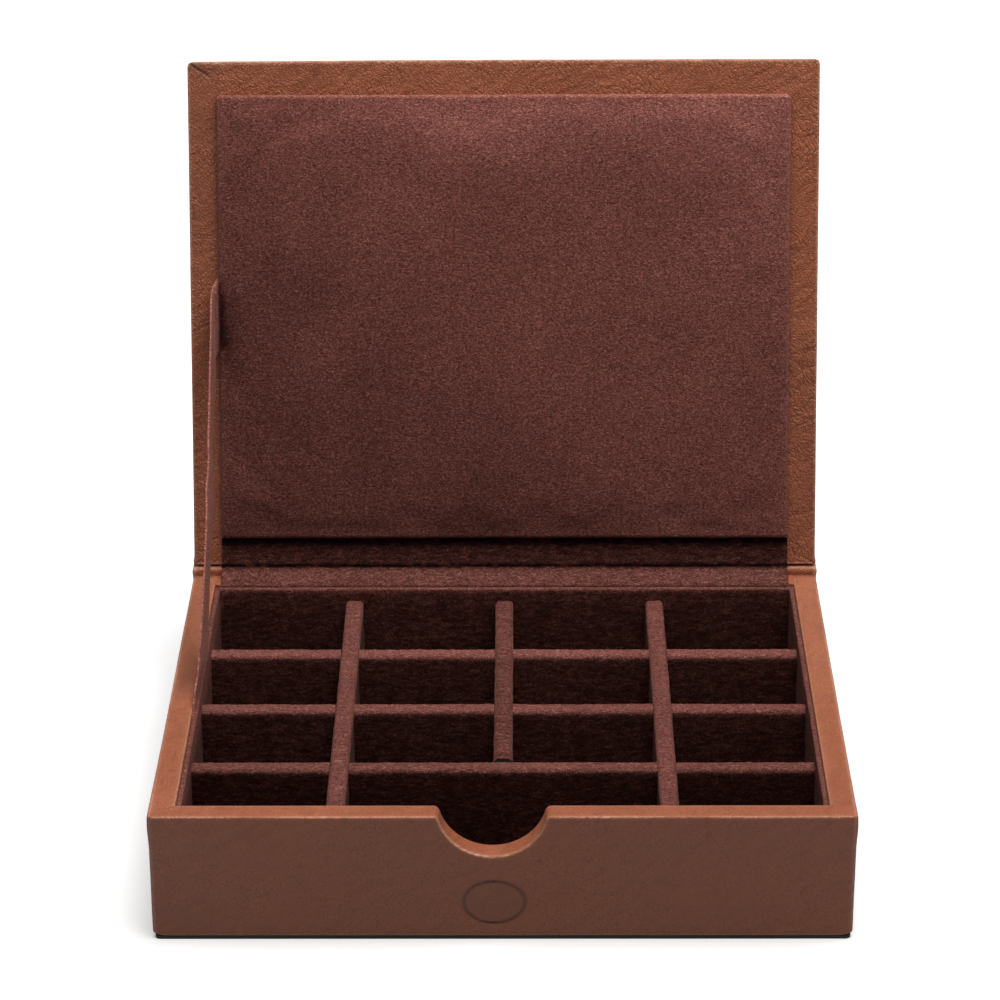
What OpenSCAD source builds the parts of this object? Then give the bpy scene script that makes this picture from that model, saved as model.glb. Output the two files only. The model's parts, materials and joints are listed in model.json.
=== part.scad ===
// Leather jewellery case with a padded lid, a suede stay strap and an egg-crate tray.
// Origin: centre of the foot panel's underside. X right, Y to the back, Z up. Millimetres.
// The lid is drawn shut and then swung open about the hinge line to its rest position.

/* [Case] */
// Outside width of the base and the lid
case_w = 250; // [230:5:290]
// Outside depth of the base and the lid, front to back
case_d = 200; // [190:5:240]
// Height of the rim above the table
rim_z = 50; // [46:1:60]
// Radius of the upright corners
corner_r = 2; // [1:0.5:4]

/* [Materials] */
// Thickness of the leather
leather_t = 1; // [0.8:0.1:1.4]
// Thickness of the board inside each base wall
wall_core_t = 7; // [5:0.5:8]
// Thickness of the suede on liners, dividers and pad
suede_t = 0.7; // [0.5:0.1:0.9]
// Thickness of the card behind the suede of a liner
card_t = 1.2; // [1:0.1:1.5]
// How far the leather is turned down inside the rim
turn_down = 22; // [15:1:30]
// How far the leather is turned under the base
turn_under = 14; // [10:1:20]

/* [Base] */
// Thickness of the dark foot panel
foot_t = 1.3; // [1:0.1:2]
// Distance of the foot panel's edge inside the leather
foot_inset = 0.5; // [0.5:0.5:6]
// Thickness of the bottom board
bottom_t = 3; // [2:0.5:4]
// Distance of the liner tops below the rim
liner_drop = 1.5; // [1:0.1:3]
// Distance of the back wall's core below the rim
back_core_drop = 1.7; // [1.5:0.1:2.5]

/* [Thumb notch] */
// Radius of the notch in the front wall
notch_r = 19.5; // [14:0.5:24]
// Height of the notch's centre above the rim
notch_rise = 3.5; // [0:0.5:5]
// Sideways place of the notch, from the middle
notch_x = -3.5; // [-10:0.5:10]
// Radius where the notch runs out into the rim
notch_fillet = 2.5; // [2.5:0.5:5]

/* [Tray] */
// Distance of the divider tops below the rim
divider_drop = 7.7; // [6:0.1:14]
// Thickness of a divider with its suede
divider_t = 7; // [5:0.5:8]
// Distance between the long dividers
long_pitch = 60; // [50:1:64]
// Distance between the cross dividers
cross_pitch = 46.4; // [40:0.2:50]
// Place of the middle cross divider, from the middle
cross_y = -1.1; // [-3:0.1:3]
// Free play of a halving joint, each side
slot_play = 0.1; // [0.05:0.05:0.3]

/* [Lid] */
// Thickness of the lid with its leather
lid_t = 7; // [6:0.5:9]
// Gap between the rim and the shut lid
shut_gap = 0.3; // [0.2:0.1:1]
// Angle that the lid opens to
open_deg = 106; // [95:1:115]
// Width of the leather turned in around the lid's inner face
turn_in = 20; // [16:1:26]
// Distance of the hinge line behind the back face
pivot_back = 1.5; // [1:0.1:2.5]
// Height of the hinge line above the rim
pivot_up = 2.3; // [1.5:0.1:3]

/* [Pad] */
// Thickness of the whole pad
pad_t = 3.9; // [3.5:0.1:5]
// Thickness of the board inside the pad
pad_board_t = 2; // [1.5:0.1:2.5]
// Margin of leather beside the pad
pad_side = 11.3; // [11:0.1:20]
// Margin of leather at the lid's front edge
pad_front = 11.6; // [11.5:0.1:20]
// Margin at the lid's hinge edge
pad_back = 11; // [11:0.1:20]

/* [Stay strap] */
// Thickness of the strap, less than or equal to a liner's card
strap_t = 1.2; // [0.8:0.1:1.2]
// Width of the strap where it meets the lid and the rim
strap_w = 29; // [16:1:40]
// Distance from the hinge edge to the strap, on the lid and on the rim
strap_out = 89; // [70:1:110]
// Depth of the strap's end below the rim
strap_tuck = 12; // [8:1:20]
// Length of the tab glued under the pad
strap_tab = 12; // [8:1:16]

/* [Hidden] */

LEATHER = [0.62, 0.36, 0.25];
SUEDE = [0.31, 0.17, 0.15];
BOARD = [0.76, 0.66, 0.52];
CARD = [0.62, 0.60, 0.56];
FOAM = [0.93, 0.90, 0.80];
FOOT = [0.13, 0.12, 0.13];

$fn = 64;
eps = 0.01;

half_w = case_w / 2;
half_d = case_d / 2;

// Heights of the base's layers
under_z = foot_t + leather_t;
floor_z = under_z + bottom_t;
floor_suede_z = floor_z + card_t;
tray_z = floor_suede_z + suede_t;
core_top = rim_z - leather_t;
back_core_top = rim_z - back_core_drop;
liner_top = rim_z - liner_drop;
divider_top = rim_z - divider_drop;
halving_z = (tray_z + divider_top) / 2;

// Inner faces of the walls: bare core, then leather
core_x = half_w - leather_t - wall_core_t;
core_front = -half_d + leather_t + wall_core_t;
core_back = half_d - leather_t - wall_core_t;
skin_x = core_x - leather_t;
skin_front = core_front + leather_t;

// Inner faces of the liners
liner_t = card_t + suede_t;
tray_x = skin_x - liner_t;
tray_front = skin_front + liner_t;
lining_ease = 0.05;
lining_face = core_back - suede_t - lining_ease;
tray_back = lining_face - liner_t;

// Lid, shut: its inner face and the pad's face
lid_z = rim_z + shut_gap;
pad_z = lid_z - pad_t;
pad_half_w = half_w - pad_side;
pad_front_y = -half_d + pad_front;
pad_back_y = half_d - pad_back;
lining_half_w = pad_half_w;
lining_down = 20;
pad_corner_r = 1.5;

// Hinge line, and the place of a shut lid's point once the lid is open
pivot_y = half_d + pivot_back;
pivot_z = rim_z + pivot_up;
spine_gap = 0.3;
function swing(y, z) = [
    pivot_y + (y - pivot_y) * cos(open_deg) + (z - pivot_z) * sin(open_deg),
    pivot_z - (y - pivot_y) * sin(open_deg) + (z - pivot_z) * cos(open_deg)
];

// Stay strap: its two edges on the lid and on the rim
strap_near = half_d - strap_out;
strap_far = strap_near - strap_w;
strap_x = -skin_x;
tuck_y = strap_tuck * (swing(strap_near, lid_z)[0] - strap_near) / (swing(strap_near, lid_z)[1] - rim_z);

// Long dividers: left, centre, right. The centre one stops behind the front cross divider.
function long_x(i) = (i - 1) * long_pitch;
function cross_at(i) = cross_y + (i - 1) * cross_pitch;
function long_front(i) = i == 1 ? cross_at(0) + divider_t / 2 : tray_front;

// Outline of a strip of thickness t along a path
function unit(v) = v / norm(v);
function side_of(path, i) = let (
    last = len(path) - 1,
    d = unit(path[min(i + 1, last)] - path[max(i - 1, 0)])
) [-d[1], d[0]];
function strip(path, t) = concat(
    [for (i = [0 : len(path) - 1]) path[i] + side_of(path, i) * t / 2],
    [for (i = [len(path) - 1 : -1 : 0]) path[i] - side_of(path, i) * t / 2]
);

// A box from its lowest to its highest corner
module span(low, high) {
    translate(low) cube(high - low);
}

module rounded(x0, y0, x1, y1, r) {
    translate([x0 + r, y0]) square([x1 - x0 - 2 * r, y1 - y0]);
    translate([x0, y0 + r]) square([x1 - x0, y1 - y0 - 2 * r]);
    for (x = [x0 + r, x1 - r], y = [y0 + r, y1 - r]) translate([x, y]) circle(r);
}

// A profile drawn in Y and Z, extruded between two X values
module across(x0, x1) {
    translate([x0, 0, 0]) rotate([90, 0, 90]) linear_extrude(x1 - x0) children();
}

module opened() {
    translate([0, pivot_y, pivot_z])
        rotate([-open_deg, 0, 0])
            translate([0, -pivot_y, -pivot_z])
                children();
}

// The notch as a cutter through the front, its surface moved outward by grow
module notch(grow) {
    reach = notch_r + notch_fillet;
    drop = notch_rise + notch_fillet;
    half = sqrt(reach * reach - drop * drop);
    meet_z = rim_z - notch_fillet + (notch_fillet - grow) * drop / reach;
    translate([notch_x, -half_d - 5, 0]) rotate([90, 0, 180]) mirror([1, 0, 0])
        linear_extrude(wall_core_t + 10) {
            translate([0, rim_z + notch_rise]) circle(notch_r + grow);
            difference() {
                translate([-half, meet_z]) square([2 * half, rim_z + 5 - meet_z]);
                for (s = [-1, 1]) translate([s * half, rim_z - notch_fillet]) {
                    circle(notch_fillet - grow);
                }
            }
        }
}

// Strap plate's outline in Y and Z, grown for a pocket
module strap_outline(grow) {
    offset_y = [grow, 0];
    polygon([
        swing(strap_near, lid_z) + offset_y,
        [strap_near, rim_z] + offset_y,
        [strap_near - tuck_y, rim_z - strap_tuck - grow] + offset_y,
        [strap_far - tuck_y, rim_z - strap_tuck - grow] - offset_y,
        [strap_far, rim_z] - offset_y,
        swing(strap_far, lid_z) - offset_y
    ]);
}

// Tab of the strap on the shut lid's inner face
module strap_tab_block(grow) {
    span(
        [strap_x, strap_far - grow, lid_z - strap_t - grow],
        [strap_x + strap_tab + grow, strap_near + grow, lid_z]
    );
}

module foot_panel() {
    foot_x = half_w - foot_inset;
    foot_y = half_d - foot_inset;
    color(FOOT) linear_extrude(foot_t) rounded(-foot_x, -foot_y, foot_x, foot_y, corner_r);
}

module bottom_board() {
    color(BOARD) span(
        [-half_w + leather_t, -half_d + leather_t, under_z],
        [half_w - leather_t, half_d - leather_t, floor_z]
    );
}

module front_wall() {
    color(BOARD) difference() {
        span([-half_w + leather_t, -half_d + leather_t, floor_z], [half_w - leather_t, core_front, core_top]);
        notch(leather_t);
    }
}

// The back core is lower between the side walls' ends, where the hinge lining runs over it
module back_wall() {
    color(BOARD) difference() {
        span([-half_w + leather_t, core_back, floor_z], [half_w - leather_t, half_d - leather_t, core_top]);
        span([-skin_x, core_back - eps, back_core_top], [skin_x, half_d, rim_z]);
    }
}

module side_wall(side) {
    color(BOARD) translate([side * (core_x + wall_core_t / 2) - wall_core_t / 2, core_front, floor_z])
        cube([wall_core_t, core_back - core_front, core_top - floor_z]);
}

// One leather skin on the front and both sides: up the outside, over the rim, down the
// inside, and under the bottom. The thumb notch is lined with the same leather.
module base_leather_cover() {
    color(LEATHER) {
        difference() {
            translate([0, 0, foot_t]) linear_extrude(rim_z - foot_t) difference() {
                rounded(-half_w, -half_d, half_w, half_d + corner_r, corner_r);
                translate([-half_w, half_d - leather_t]) square([case_w, corner_r + 5]);
                translate([-skin_x, skin_front]) square([2 * skin_x, case_d]);
            }
            span(
                [-half_w + leather_t, -half_d + leather_t, under_z],
                [half_w - leather_t, core_front, core_top]
            );
            for (side = [-1, 1]) {
                translate([side * (core_x + wall_core_t / 2) - wall_core_t / 2, core_front - eps, under_z])
                    cube([wall_core_t, case_d, core_top - under_z]);
            }
            span([-core_x, core_front - eps, foot_t - eps], [core_x, half_d, rim_z - turn_down]);
            span([-core_x, core_back, foot_t - eps], [core_x, half_d, core_top]);
            notch(0);
        }
        intersection() {
            difference() {
                notch(leather_t);
                notch(0);
            }
            span([-half_w, -half_d, under_z], [half_w, skin_front, rim_z]);
        }
        difference() {
            span(
                [-half_w + leather_t, -half_d + leather_t, foot_t],
                [half_w - leather_t, half_d - leather_t, under_z]
            );
            span(
                [-half_w + turn_under, -half_d + turn_under, foot_t - eps],
                [half_w - turn_under, half_d - turn_under, under_z + eps]
            );
        }
    }
}

module floor_card() {
    color(CARD) span([-core_x, core_front, floor_z], [core_x, core_back, floor_suede_z]);
}

module floor_suede() {
    color(SUEDE) span([-core_x, core_front, floor_suede_z], [core_x, core_back, tray_z]);
}

module front_liner_card() {
    color(CARD) difference() {
        span([-skin_x, skin_front, tray_z], [skin_x, skin_front + card_t, liner_top - suede_t]);
        notch(liner_drop + suede_t);
    }
}

module front_liner_suede() {
    color(SUEDE) difference() {
        span([-skin_x, skin_front, tray_z], [skin_x, tray_front, liner_top]);
        difference() {
            span(
                [-skin_x - eps, skin_front - eps, tray_z - eps],
                [skin_x + eps, tray_front - suede_t, liner_top - suede_t]
            );
            notch(liner_drop + suede_t);
        }
        notch(liner_drop);
    }
}

module back_liner_card() {
    color(CARD) span([-skin_x, lining_face - card_t, tray_z], [skin_x, lining_face, liner_top - suede_t]);
}

module back_liner_suede() {
    color(SUEDE) difference() {
        span([-skin_x, tray_back, tray_z], [skin_x, lining_face, liner_top]);
        span(
            [-skin_x - eps, tray_back + suede_t, tray_z - eps],
            [skin_x + eps, lining_face + eps, liner_top - suede_t]
        );
    }
}

module right_liner_card() {
    color(CARD) span([skin_x - card_t, tray_front, tray_z], [skin_x, tray_back, liner_top - suede_t]);
}

module right_liner_suede() {
    color(SUEDE) difference() {
        span([tray_x, tray_front, tray_z], [skin_x, tray_back, liner_top]);
        span(
            [tray_x + suede_t, tray_front - eps, tray_z - eps],
            [skin_x + eps, tray_back + eps, liner_top - suede_t]
        );
    }
}

// The strap's end sits in a pocket in the left liner, against the wall's leather
module strap_pocket() {
    across(-skin_x - 1, -skin_x + card_t) strap_outline(0.3);
}

module left_liner_card() {
    difference() {
        mirror([1, 0, 0]) right_liner_card();
        strap_pocket();
    }
}

module left_liner_suede() {
    difference() {
        mirror([1, 0, 0]) right_liner_suede();
        strap_pocket();
    }
}

// Slots that let long dividers drop over the cross dividers: cut from below
module long_slots() {
    width = divider_t + 2 * slot_play;
    for (i = [0 : 2]) {
        translate([-half_w, cross_at(i) - width / 2, tray_z - eps])
            cube([case_w, width, halving_z - tray_z + slot_play]);
    }
}

module long_divider_core(i) {
    core_t = divider_t - 2 * suede_t;
    color(BOARD) difference() {
        span(
            [long_x(i) - core_t / 2, long_front(i), tray_z],
            [long_x(i) + core_t / 2, tray_back, divider_top - suede_t]
        );
        long_slots();
    }
}

module long_divider_suede(i) {
    core_t = divider_t - 2 * suede_t;
    color(SUEDE) difference() {
        span(
            [long_x(i) - divider_t / 2, long_front(i), tray_z],
            [long_x(i) + divider_t / 2, tray_back, divider_top]
        );
        span(
            [long_x(i) - core_t / 2, -half_d, tray_z - eps],
            [long_x(i) + core_t / 2, half_d, divider_top - suede_t]
        );
        long_slots();
    }
}

// Slots in a cross divider: cut from above. The front one has none in the middle.
module cross_slots(i) {
    width = divider_t + 2 * slot_play;
    for (k = i == 0 ? [0, 2] : [0, 1, 2]) {
        translate([long_x(k) - width / 2, -half_d, halving_z - slot_play])
            cube([width, case_d, rim_z]);
    }
}

module cross_divider_core(i) {
    core_t = divider_t - 2 * suede_t;
    color(BOARD) difference() {
        span(
            [-tray_x, cross_at(i) - core_t / 2, tray_z],
            [tray_x, cross_at(i) + core_t / 2, divider_top - suede_t]
        );
        cross_slots(i);
    }
}

module cross_divider_suede(i) {
    core_t = divider_t - 2 * suede_t;
    color(SUEDE) difference() {
        span(
            [-tray_x, cross_at(i) - divider_t / 2, tray_z],
            [tray_x, cross_at(i) + divider_t / 2, divider_top]
        );
        span(
            [-half_w, cross_at(i) - core_t / 2, tray_z - eps],
            [half_w, cross_at(i) + core_t / 2, divider_top - suede_t]
        );
        cross_slots(i);
    }
}

// Leather on the back face that rolls over the gap and meets the lid's outer corner
module hinge_spine() {
    mid_y = half_d - leather_t / 2;
    roll_r = pivot_back;
    roll_z = rim_z + pivot_up - 1.1;
    roll = [for (a = [180 : -20 : 60]) [mid_y + roll_r + roll_r * cos(a), roll_z + roll_r * sin(a)]];
    end_z = lid_z + lid_t - leather_t / 2;
    end = swing(half_d + spine_gap, end_z);
    valley_z = roll_z + 0.1;
    valley = [
        [roll[6][0] + 1.1, valley_z + 0.5],
        [end[0] - 2.2, valley_z],
        [end[0] - 1, valley_z],
        swing(half_d + spine_gap + 0.7, end_z)
    ];
    path = concat([[mid_y, foot_t]], roll, valley, [end]);
    color(LEATHER) across(-half_w, half_w) polygon(strip(path, leather_t));
}

// Suede from the pad's edge over the crease and the back wall, and down inside it
module hinge_lining() {
    half_t = suede_t / 2;
    edge_r = half_t + lining_ease / 2;
    path = [
        swing(pad_back_y + 0.1, lid_z - half_t),
        swing(half_d - 0.4, lid_z - half_t),
        [half_d - leather_t - half_t, rim_z + 3.3],
        [half_d - leather_t - half_t - 0.5, rim_z + 0.5],
        [half_d - leather_t - half_t - 1.9, rim_z - 0.9],
        [core_back + 3, back_core_top + edge_r],
        [core_back, back_core_top + edge_r],
        [core_back - edge_r * 0.8, back_core_top + edge_r * 0.8],
        [core_back - edge_r, back_core_top],
        [core_back - edge_r, back_core_top - lining_down]
    ];
    color(SUEDE) across(-lining_half_w, lining_half_w) polygon(strip(path, suede_t));
}

// One suede strap on the left: a plate beside the pad, with a tab glued under the pad
module stay_strap() {
    color(SUEDE) {
        across(strap_x, strap_x + strap_t) strap_outline(0);
        opened() strap_tab_block(0);
    }
}

module lid_board() {
    color(BOARD) opened() span(
        [-half_w + leather_t, -half_d + leather_t, lid_z + leather_t],
        [half_w - leather_t, half_d - leather_t, lid_z + lid_t - leather_t]
    );
}

module lid_leather_cover() {
    color(LEATHER) opened() difference() {
        translate([0, 0, lid_z]) linear_extrude(lid_t) rounded(-half_w, -half_d, half_w, half_d, corner_r);
        span(
            [-half_w + leather_t, -half_d + leather_t, lid_z + leather_t],
            [half_w - leather_t, half_d - leather_t, lid_z + lid_t - leather_t]
        );
        span(
            [-half_w + turn_in, -half_d + turn_in, lid_z - 1],
            [half_w - turn_in, half_d - turn_in, lid_z + leather_t + eps]
        );
    }
}

module pad_outline(inset) {
    rounded(
        -pad_half_w + inset, pad_front_y + inset,
        pad_half_w - inset, pad_back_y - inset, pad_corner_r
    );
}

module pad_board() {
    color(BOARD) opened() difference() {
        translate([0, 0, lid_z - pad_board_t]) linear_extrude(pad_board_t) pad_outline(suede_t);
        strap_tab_block(0.1);
    }
}

module pad_foam() {
    color(FOAM) opened() translate([0, 0, pad_z + suede_t])
        linear_extrude(pad_t - suede_t - pad_board_t) pad_outline(suede_t);
}

module pad_suede() {
    color(SUEDE) opened() difference() {
        translate([0, 0, pad_z]) linear_extrude(pad_t) pad_outline(0);
        translate([0, 0, pad_z + suede_t]) linear_extrude(pad_t) pad_outline(suede_t);
        strap_tab_block(0.1);
    }
}

foot_panel();
bottom_board();
front_wall();
back_wall();
side_wall(-1);  // left_wall
side_wall(1);  // right_wall
base_leather_cover();
floor_card();
floor_suede();
front_liner_card();
front_liner_suede();
back_liner_card();
back_liner_suede();
left_liner_card();
left_liner_suede();
right_liner_card();
right_liner_suede();
long_divider_core(0);  // long_divider_left_core
long_divider_suede(0);  // long_divider_left_suede
long_divider_core(1);  // long_divider_centre_core
long_divider_suede(1);  // long_divider_centre_suede
long_divider_core(2);  // long_divider_right_core
long_divider_suede(2);  // long_divider_right_suede
cross_divider_core(0);  // cross_divider_front_core
cross_divider_suede(0);  // cross_divider_front_suede
cross_divider_core(1);  // cross_divider_middle_core
cross_divider_suede(1);  // cross_divider_middle_suede
cross_divider_core(2);  // cross_divider_rear_core
cross_divider_suede(2);  // cross_divider_rear_suede
hinge_spine();
hinge_lining();
stay_strap();
lid_board();
lid_leather_cover();
pad_board();
pad_foam();
pad_suede();
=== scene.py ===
import json
import math

import bmesh
import bpy
import numpy as np
from mathutils import Matrix, Vector, noise


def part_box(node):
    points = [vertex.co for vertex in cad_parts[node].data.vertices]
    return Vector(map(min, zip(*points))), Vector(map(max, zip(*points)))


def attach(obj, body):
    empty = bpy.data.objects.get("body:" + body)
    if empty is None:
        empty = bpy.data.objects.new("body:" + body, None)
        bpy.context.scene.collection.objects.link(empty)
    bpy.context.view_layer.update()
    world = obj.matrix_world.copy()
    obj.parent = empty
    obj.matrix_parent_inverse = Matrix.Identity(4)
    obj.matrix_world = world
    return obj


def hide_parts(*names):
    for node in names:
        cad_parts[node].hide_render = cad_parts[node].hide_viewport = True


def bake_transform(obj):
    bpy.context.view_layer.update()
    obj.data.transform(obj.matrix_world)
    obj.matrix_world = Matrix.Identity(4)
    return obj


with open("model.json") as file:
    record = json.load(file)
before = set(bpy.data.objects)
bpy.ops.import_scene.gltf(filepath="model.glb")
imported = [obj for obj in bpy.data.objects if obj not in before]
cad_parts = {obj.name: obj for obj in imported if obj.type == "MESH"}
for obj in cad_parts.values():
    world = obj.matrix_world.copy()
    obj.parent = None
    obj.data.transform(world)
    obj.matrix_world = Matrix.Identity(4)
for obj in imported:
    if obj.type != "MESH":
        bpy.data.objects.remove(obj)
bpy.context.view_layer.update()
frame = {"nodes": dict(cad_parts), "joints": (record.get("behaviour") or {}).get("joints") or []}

# Lengths are in millimetres up to the call that makes a mesh, which scales them to metres.
MM = 0.001


# ---------------- measurements from the frame

def box_mm(node):
    low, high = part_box(node)
    return np.array(low) / MM, np.array(high) / MM


COVER_LOW, COVER_HIGH = box_mm("base_leather_cover")
HALF_W = COVER_HIGH[0]
HALF_D = -COVER_LOW[1]
RIM_Z = COVER_HIGH[2]
SKIN_Z = COVER_LOW[2]
BACK_Y = COVER_HIGH[1]
TRAY_X, SKIN_X = (corner[0] for corner in box_mm("right_liner_suede"))
SKIN_FRONT, TRAY_FRONT = (corner[1] for corner in box_mm("front_liner_suede"))
(_, TRAY_BACK, TRAY_Z), (_, LINING_FACE, LINER_TOP) = box_mm("back_liner_suede")
DIVIDER_TOP = box_mm("long_divider_left_suede")[1][2]
LINING_X = box_mm("hinge_lining")[1][0]
STRAP_X = box_mm("stay_strap")[0][0]

JOINT = frame["joints"][0]
PIVOT_Y, PIVOT_Z = (v / MM for v in JOINT["pos_m"][1:])
OPEN = math.radians(JOINT["range_deg"][1])

LEATHER_T = 1.0
SUEDE_T = 0.7
CORNER_R = 2.0
NOTCH_R = 19.5
NOTCH_RISE = 3.5
NOTCH_X = -3.5
NOTCH_FILLET = 2.5
NOTCH_REACH = NOTCH_R + NOTCH_FILLET
NOTCH_DROP = NOTCH_RISE + NOTCH_FILLET
NOTCH_HALF = math.sqrt(NOTCH_REACH ** 2 - NOTCH_DROP ** 2)
TURN_DOWN = 22.0
TURN_UNDER = 14.0
LID_Z = RIM_Z + 0.3
LID_T = 7.0
TURN_IN = 20.0
PAD_T = 3.9
PAD_X = 113.7
PAD_FRONT = -88.4
PAD_BACK = 89.0
PAD_STEP = 2.42


def turned(y, z, angle):
    c, s = math.cos(angle), math.sin(angle)
    dy, dz = y - PIVOT_Y, z - PIVOT_Z
    return PIVOT_Y + dy * c + dz * s, PIVOT_Z - dy * s + dz * c


def swing(y, z):
    """Where a point of the shut lid is at rest, with the lid open."""
    return turned(y, z, OPEN)


def shut_again(p):
    """A point of the open lid, in the shut lid's place."""
    return p[0], *turned(p[1], p[2], -OPEN)


def opened(points):
    """An array of points of the shut lid, moved to where the open lid has them."""
    points = np.array(points, float)
    y, z = swing(points[:, 1], points[:, 2])
    return np.stack([points[:, 0], y, z], 1)


# ---------------- materials

def new_material(name, **sockets):
    material = bpy.data.materials.new(name)
    material.use_nodes = True
    shader = material.node_tree.nodes["Principled BSDF"]
    for socket, value in sockets.items():
        shader.inputs[socket.replace("_", " ")].default_value = value
    return material


def add_node(material, kind, inputs=None, **settings):
    node = material.node_tree.nodes.new(kind)
    for key, value in settings.items():
        setattr(node, key, value)
    for key, value in (inputs or {}).items():
        if isinstance(value, bpy.types.NodeSocket):
            material.node_tree.links.new(value, node.inputs[key])
        else:
            node.inputs[key].default_value = value
    return node


def rest_place(material):
    """Rest coordinates in metres, kept on the mesh, so that a grain doesn't slide as a fold bends."""
    return add_node(material, "ShaderNodeAttribute", attribute_name="rest_place").outputs["Vector"]


def object_place(material):
    return add_node(material, "ShaderNodeTexCoord").outputs["Object"]


def stretched(material, place, scale, turn=(0, 0, 0)):
    """Turns the place, then scales it, so that a pattern can run at a slant."""
    slanted = add_node(material, "ShaderNodeMapping", {"Vector": place, "Rotation": turn}).outputs["Vector"]
    return add_node(material, "ShaderNodeMapping", {"Vector": slanted, "Scale": scale}).outputs["Vector"]


def cell_edges(material, place, scale):
    """Distance to the nearest edge of a pattern of cells: 0 in the creases."""
    return add_node(
        material, "ShaderNodeTexVoronoi", {"Vector": place, "Scale": scale}, feature="DISTANCE_TO_EDGE"
    ).outputs["Distance"]


def warped(material, place, scale, amount):
    colours = add_node(material, "ShaderNodeTexNoise", {"Vector": place, "Scale": scale, "Detail": 2.0})
    return mixed(material, amount, place, colours.outputs["Color"], "LINEAR_LIGHT")


def noise_of(material, place, scale, detail=3.0, roughness=0.55, distortion=0.0):
    return add_node(material, "ShaderNodeTexNoise", {
        "Vector": place, "Scale": scale, "Detail": detail,
        "Roughness": roughness, "Distortion": distortion,
    }).outputs["Fac"]


def ramp(material, factor, stops):
    node = add_node(material, "ShaderNodeValToRGB", {"Fac": factor})
    elements = node.color_ramp.elements
    while len(elements) < len(stops):
        elements.new(0.5)
    for element, (place, colour) in zip(elements, stops):
        element.position = place
        element.color = (*colour, 1)
    return node.outputs["Color"]


def mixed(material, factor, a, b, blend="MIX"):
    inputs = {"Factor": factor, 6: a, 7: b}
    return add_node(material, "ShaderNodeMix", inputs, data_type="RGBA", blend_type=blend).outputs[2]


def layered(material, tone, share, factor, stops):
    """A tone multiplied by a ramp of a pattern, as far as share goes."""
    return mixed(material, share, tone, ramp(material, factor, stops), "MULTIPLY")


def grey(level):
    return (level, level, level)


def scaled(colour, gain):
    return tuple(gain * v for v in colour)


def math_of(material, operation, *values, clamp=False):
    inputs = dict(enumerate(values))
    return add_node(material, "ShaderNodeMath", inputs, operation=operation, use_clamp=clamp).outputs[0]


def mesh_mask(material, name):
    return add_node(material, "ShaderNodeAttribute", attribute_name=name).outputs["Fac"]


def bumped(material, layers):
    """Chains bump layers (height, strength, distance in metres) into the shader's normal."""
    normal = None
    for height, strength, distance in layers:
        inputs = {"Height": height, "Strength": strength, "Distance": distance}
        if normal is not None:
            inputs["Normal"] = normal
        normal = add_node(material, "ShaderNodeBump", inputs).outputs["Normal"]
    return normal


def to_shader(material, **links):
    shader = material.node_tree.nodes["Principled BSDF"]
    for socket, value in links.items():
        material.node_tree.links.new(value, shader.inputs[socket.replace("_", " ")])


TAN_DEEP, TAN_LIGHT = (0.348, 0.100, 0.043), (0.420, 0.125, 0.055)
# Below: the lighter tan that the first mask mixes in, for scuffing, painted highlights and painted light, and
# TAN_SHADED, the painted shade.
TAN_PATCH, TAN_WORN_AND_LIT = (0.350, 0.102, 0.044, 1), (0.90, 0.47, 0.29, 1)
TAN_SHADED = (0.058, 0.025, 0.019, 1)


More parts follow.
